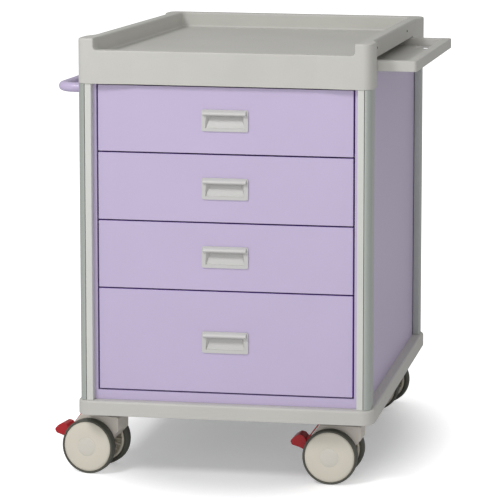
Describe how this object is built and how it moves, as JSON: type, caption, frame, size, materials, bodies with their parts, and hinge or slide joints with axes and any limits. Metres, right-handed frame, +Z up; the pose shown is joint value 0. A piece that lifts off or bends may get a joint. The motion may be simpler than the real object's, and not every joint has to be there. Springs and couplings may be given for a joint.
{
  "type": "instrument cart",
  "caption": "Upright drawer cart with a guarded moulded worktop, pull-out side shelf, bent tube push handle and twin-wheel swivel casters with brake pedals.",
  "frame": {"origin": "on the floor under the middle of the cart's overall width and depth", "axes": "+X to the right seen from the drawers' side, -Y towards the user in front of the drawers, +Z up"},
  "size_m": [0.835, 0.782, 1],
  "materials": {
    "shell": "moulded, fine matte grain",
    "lavender": "semi-gloss powder coat",
    "column": "satin anodised with a pale cover strip",
    "pull": "satin moulded",
    "steel": "zinc plated",
    "caster": "satin moulded nylon",
    "hub": "satin moulded",
    "tyre": "matte",
    "pedal": "satin moulded"
  },
  "bodies": {
    "cabinet": {"worktop": "shell", "base_moulding": "shell", "chassis_plate": "steel", "side_panel_left": "lavender", "side_panel_right": "lavender", "back_panel": "lavender", "front_frame": "lavender", "push_handle": "lavender", "runner_rack_left": "steel", "runner_rack_right": "steel", "shelf_guide_front": "steel", "shelf_guide_rear": "steel", "column_front_left": "column", "column_front_right": "column", "column_rear_left": "column", "column_rear_right": "column", "caster_plate_front_left": "steel", "caster_plate_front_right": "steel", "caster_plate_rear_left": "steel", "caster_plate_rear_right": "steel"},
    "drawer_1": {"drawer_1_front": "lavender", "drawer_1_pull": "pull", "drawer_1_tray": "steel"},
    "drawer_2": {"drawer_2_front": "lavender", "drawer_2_pull": "pull", "drawer_2_tray": "steel"},
    "drawer_3": {"drawer_3_front": "lavender", "drawer_3_pull": "pull", "drawer_3_tray": "steel"},
    "drawer_4": {"drawer_4_front": "lavender", "drawer_4_pull": "pull", "drawer_4_tray": "steel"},
    "side_shelf": {"side_shelf": "shell"},
    "caster_front_left": {"caster_front_left_housing": "caster", "caster_front_left_axle": "steel"},
    "wheel_front_left_near": {"caster_front_left_hub_near": "hub", "caster_front_left_tyre_near": "tyre"},
    "wheel_front_left_far": {"caster_front_left_hub_far": "hub", "caster_front_left_tyre_far": "tyre"},
    "pedal_front_left": {"brake_pedal_front_left": "pedal"},
    "caster_front_right": {"caster_front_right_housing": "caster", "caster_front_right_axle": "steel"},
    "wheel_front_right_near": {"caster_front_right_hub_near": "hub", "caster_front_right_tyre_near": "tyre"},
    "wheel_front_right_far": {"caster_front_right_hub_far": "hub", "caster_front_right_tyre_far": "tyre"},
    "pedal_front_right": {"brake_pedal_front_right": "pedal"},
    "caster_rear_left": {"caster_rear_left_housing": "caster", "caster_rear_left_axle": "steel"},
    "wheel_rear_left_near": {"caster_rear_left_hub_near": "hub", "caster_rear_left_tyre_near": "tyre"},
    "wheel_rear_left_far": {"caster_rear_left_hub_far": "hub", "caster_rear_left_tyre_far": "tyre"},
    "caster_rear_right": {"caster_rear_right_housing": "caster", "caster_rear_right_axle": "steel"},
    "wheel_rear_right_near": {"caster_rear_right_hub_near": "hub", "caster_rear_right_tyre_near": "tyre"},
    "wheel_rear_right_far": {"caster_rear_right_hub_far": "hub", "caster_rear_right_tyre_far": "tyre"}
  },
  "joints": [
    {"name": "drawer_1_slide", "type": "slide", "parent": "cabinet", "child": "drawer_1", "axis": [0, -1, 0], "range_m": [0, 0.45]},
    {"name": "drawer_2_slide", "type": "slide", "parent": "cabinet", "child": "drawer_2", "axis": [0, -1, 0], "range_m": [0, 0.45]},
    {"name": "drawer_3_slide", "type": "slide", "parent": "cabinet", "child": "drawer_3", "axis": [0, -1, 0], "range_m": [0, 0.45]},
    {"name": "drawer_4_slide", "type": "slide", "parent": "cabinet", "child": "drawer_4", "axis": [0, -1, 0], "range_m": [0, 0.45]},
    {"name": "side_shelf_slide", "type": "slide", "parent": "cabinet", "child": "side_shelf", "axis": [1, 0, 0], "range_m": [-0.085, 0.22]},
    {"name": "caster_front_left_swivel", "type": "hinge", "parent": "cabinet", "child": "caster_front_left", "pos_m": [-0.27735, -0.296, 0.13], "axis": [0, 0, 1], "continuous": true},
    {"name": "wheel_front_left_near_spin", "type": "hinge", "parent": "caster_front_left", "child": "wheel_front_left_near", "pos_m": [-0.32172, -0.2885, 0.0625], "axis": [-0.1668, -0.986, 0], "continuous": true},
    {"name": "wheel_front_left_far_spin", "type": "hinge", "parent": "caster_front_left", "child": "wheel_front_left_far", "pos_m": [-0.32172, -0.2885, 0.0625], "axis": [-0.1668, -0.986, 0], "continuous": true},
    {"name": "pedal_front_left_lift", "type": "hinge", "parent": "caster_front_left", "child": "pedal_front_left", "pos_m": [-0.35485, -0.28289, 0.1283], "axis": [0.1668, 0.986, 0], "range_deg": [0, 14]},
    {"name": "caster_front_right_swivel", "type": "hinge", "parent": "cabinet", "child": "caster_front_right", "pos_m": [0.27625, -0.296, 0.13], "axis": [0, 0, 1], "continuous": true},
    {"name": "wheel_front_right_near_spin", "type": "hinge", "parent": "caster_front_right", "child": "wheel_front_right_near", "pos_m": [0.23127, -0.29467, 0.0625], "axis": [-0.0297, -0.9996, 0], "continuous": true},
    {"name": "wheel_front_right_far_spin", "type": "hinge", "parent": "caster_front_right", "child": "wheel_front_right_far", "pos_m": [0.23127, -0.29467, 0.0625], "axis": [-0.0297, -0.9996, 0], "continuous": true},
    {"name": "pedal_front_right_lift", "type": "hinge", "parent": "caster_front_right", "child": "pedal_front_right", "pos_m": [0.19768, -0.29367, 0.1283], "axis": [0.0297, 0.9996, 0], "range_deg": [0, 14]},
    {"name": "caster_rear_left_swivel", "type": "hinge", "parent": "cabinet", "child": "caster_rear_left", "pos_m": [-0.27735, 0.319, 0.13], "axis": [0, 0, 1], "continuous": true},
    {"name": "wheel_rear_left_near_spin", "type": "hinge", "parent": "caster_rear_left", "child": "wheel_rear_left_near", "pos_m": [-0.32224, 0.32214, 0.0625], "axis": [-0.0698, -0.9976, 0], "continuous": true},
    {"name": "wheel_rear_left_far_spin", "type": "hinge", "parent": "caster_rear_left", "child": "wheel_rear_left_far", "pos_m": [-0.32224, 0.32214, 0.0625], "axis": [-0.0698, -0.9976, 0], "continuous": true},
    {"name": "caster_rear_right_swivel", "type": "hinge", "parent": "cabinet", "child": "caster_rear_right", "pos_m": [0.27625, 0.319, 0.13], "axis": [0, 0, 1], "continuous": true},
    {"name": "wheel_rear_right_near_spin", "type": "hinge", "parent": "caster_rear_right", "child": "wheel_rear_right_near", "pos_m": [0.23208, 0.32759, 0.0625], "axis": [-0.1908, -0.9816, 0], "continuous": true},
    {"name": "wheel_rear_right_far_spin", "type": "hinge", "parent": "caster_rear_right", "child": "wheel_rear_right_far", "pos_m": [0.23208, 0.32759, 0.0625], "axis": [-0.1908, -0.9816, 0], "continuous": true}
  ]
}
